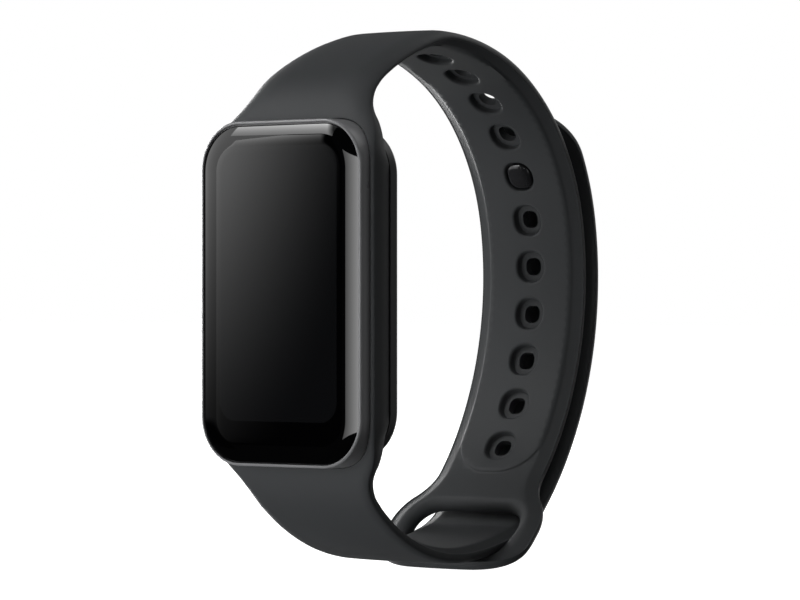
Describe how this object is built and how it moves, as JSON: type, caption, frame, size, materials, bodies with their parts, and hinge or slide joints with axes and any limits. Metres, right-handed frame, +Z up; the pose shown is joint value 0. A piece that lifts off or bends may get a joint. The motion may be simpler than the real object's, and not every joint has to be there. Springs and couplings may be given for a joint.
{
  "type": "fitness tracker band",
  "caption": "Slim wrist activity tracker in a one-piece flexible strap with a loop, a perforated arm and a stud, shown fastened as on a wrist.",
  "frame": {"origin": "centre of the wrist space, on the middle plane of the strap", "axes": "+X along the wrist, the tracker's glass faces -Y, +Z runs up along the tracker's long side"},
  "size_m": [0.027, 0.0585, 0.0694],
  "materials": {
    "strap_elastomer": "satin charcoal moulded elastomer, fine matt grain",
    "stud_gloss": "glossy black",
    "cover_glass": "polished, black behind",
    "housing_shell": "satin dark grey anodised shell",
    "case_plastic": "matt black moulded plastic",
    "seal_rubber": "matt black",
    "foam": "soft foam",
    "sensor_glass": "polished dark clear plastic",
    "contact_metal": "gold plated",
    "display_black": "unlit black panel",
    "flex_film": "amber film",
    "bracket_metal": "blasted",
    "cell_pouch": "foil pouch",
    "circuit_board": "green solder mask",
    "screw_steel": "plain",
    "can_metal": "tinned",
    "chip_black": "moulded package",
    "light_emitter": "green light cells"
  },
  "bodies": {
    "strap": {"strap": "strap_elastomer"},
    "tracker": {"cover_glass": "cover_glass", "housing": "housing_shell", "rear_cover": "case_plastic", "glass_gasket": "seal_rubber", "rear_seal": "seal_rubber", "contact_seals": "seal_rubber", "light_baffle": "seal_rubber", "battery_foam": "foam", "sensor_window": "sensor_glass", "charging_contacts": "contact_metal", "display_panel": "display_black", "display_flex": "flex_film", "inner_bracket": "bracket_metal", "battery": "cell_pouch", "main_board": "circuit_board", "sensor_board": "circuit_board", "battery_tab": "circuit_board", "board_screws": "screw_steel", "shield_can": "can_metal", "motor_case": "can_metal", "antenna_strip": "can_metal", "motion_sensor": "chip_black", "charger_chip": "chip_black", "display_connector": "chip_black", "sensor_eyes": "chip_black", "motor_cap": "chip_black", "sensor_lights": "light_emitter"},
    "motor_rotor": {"motor_shaft": "screw_steel", "motor_weight": "screw_steel"},
    "tail": {"strap_tail": "strap_elastomer"},
    "tail_end": {"strap_tail_end": "strap_elastomer", "stud_base": "stud_gloss", "stud_button": "stud_gloss"}
  },
  "joints": [
    {"name": "capsule_release", "type": "slide", "parent": "strap", "child": "tracker", "axis": [0, 1, 0], "range_m": [0, 0.014]},
    {"name": "rotor_spin", "type": "hinge", "parent": "tracker", "child": "motor_rotor", "pos_m": [-0.0045, -0.02515, -0.0121], "axis": [1, 0, 0], "continuous": true},
    {"name": "tail_peel", "type": "hinge", "parent": "tail", "child": "tail_end", "pos_m": [0, 0.026, -0.00708], "axis": [-1, 0, 0], "range_deg": [0, 40], "stiffness_Nm_per_rad": 0.01, "deforming": ["stud_button"]},
    {"name": "tail_lift", "type": "hinge", "parent": "strap", "child": "tail", "pos_m": [0, 0.01387, -0.02932], "axis": [-1, 0, 0], "range_deg": [0, 18], "stiffness_Nm_per_rad": 0.01, "deforming": ["stud_button"]}
  ],
  "couplings": [
    {"joint": "tail_lift", "follows": "tail_peel", "ratio": 0.45}
  ]
}
